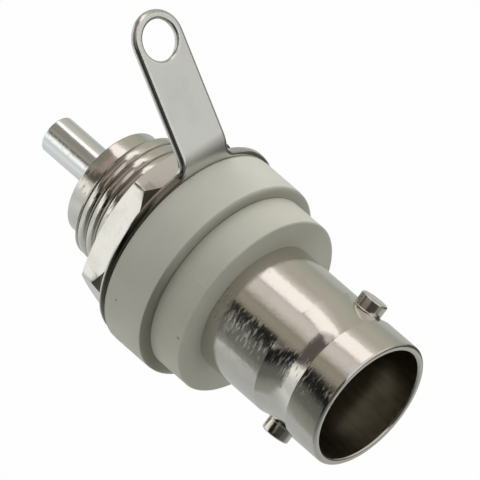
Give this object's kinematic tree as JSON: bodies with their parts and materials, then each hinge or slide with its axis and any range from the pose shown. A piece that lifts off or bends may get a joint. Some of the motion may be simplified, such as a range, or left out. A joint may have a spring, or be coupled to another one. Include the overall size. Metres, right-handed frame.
{
  "type": "isolated bnc panel jack",
  "caption": "Bayonet coaxial jack for a panel, insulated from it by two plastic discs, with a hex nut, a bent solder lug and a solder tube for the centre contact.",
  "frame": {"origin": "on the jack's axis, in the rear face of the front insulator, which seats on the front of the panel", "axes": "Y along the jack's axis: the mouth faces -Y and the solder tube +Y; +Z along the solder lug's tab as seen from the mouth; X across"},
  "size_m": [0.015, 0.0304, 0.0231],
  "materials": {
    "nickel_plate": "polished",
    "contact_plate": "satin",
    "dielectric": "satin",
    "front_plastic": "satin",
    "rear_plastic": "satin",
    "lug_plate": "satin",
    "nut_plate": "satin"
  },
  "bodies": {
    "jack": {"shell": "nickel_plate", "bayonet_pin_upper": "nickel_plate", "bayonet_pin_lower": "nickel_plate", "front_dielectric": "dielectric", "rear_dielectric": "dielectric", "centre_contact": "contact_plate", "front_insulator": "front_plastic"},
    "rear_clamp": {"rear_insulator": "rear_plastic"},
    "lug": {"solder_lug": "lug_plate"},
    "nut": {"hex_nut": "nut_plate"}
  },
  "joints": [
    {"name": "clamp_slide", "type": "slide", "parent": "jack", "child": "rear_clamp", "axis": [0, 1, 0], "range_m": [0, 0.003]},
    {"name": "lug_swivel", "type": "hinge", "parent": "rear_clamp", "child": "lug", "pos_m": [0, 0.00395, 0], "axis": [0, 1, 0], "continuous": true},
    {"name": "nut_spin", "type": "hinge", "parent": "rear_clamp", "child": "nut", "pos_m": [0, 0.0054, 0], "axis": [0, 1, 0], "range_deg": [0, 1361]}
  ],
  "couplings": [
    {"joint": "nut_spin", "follows": "clamp_slide", "rad_per_m": 7915.8}
  ]
}
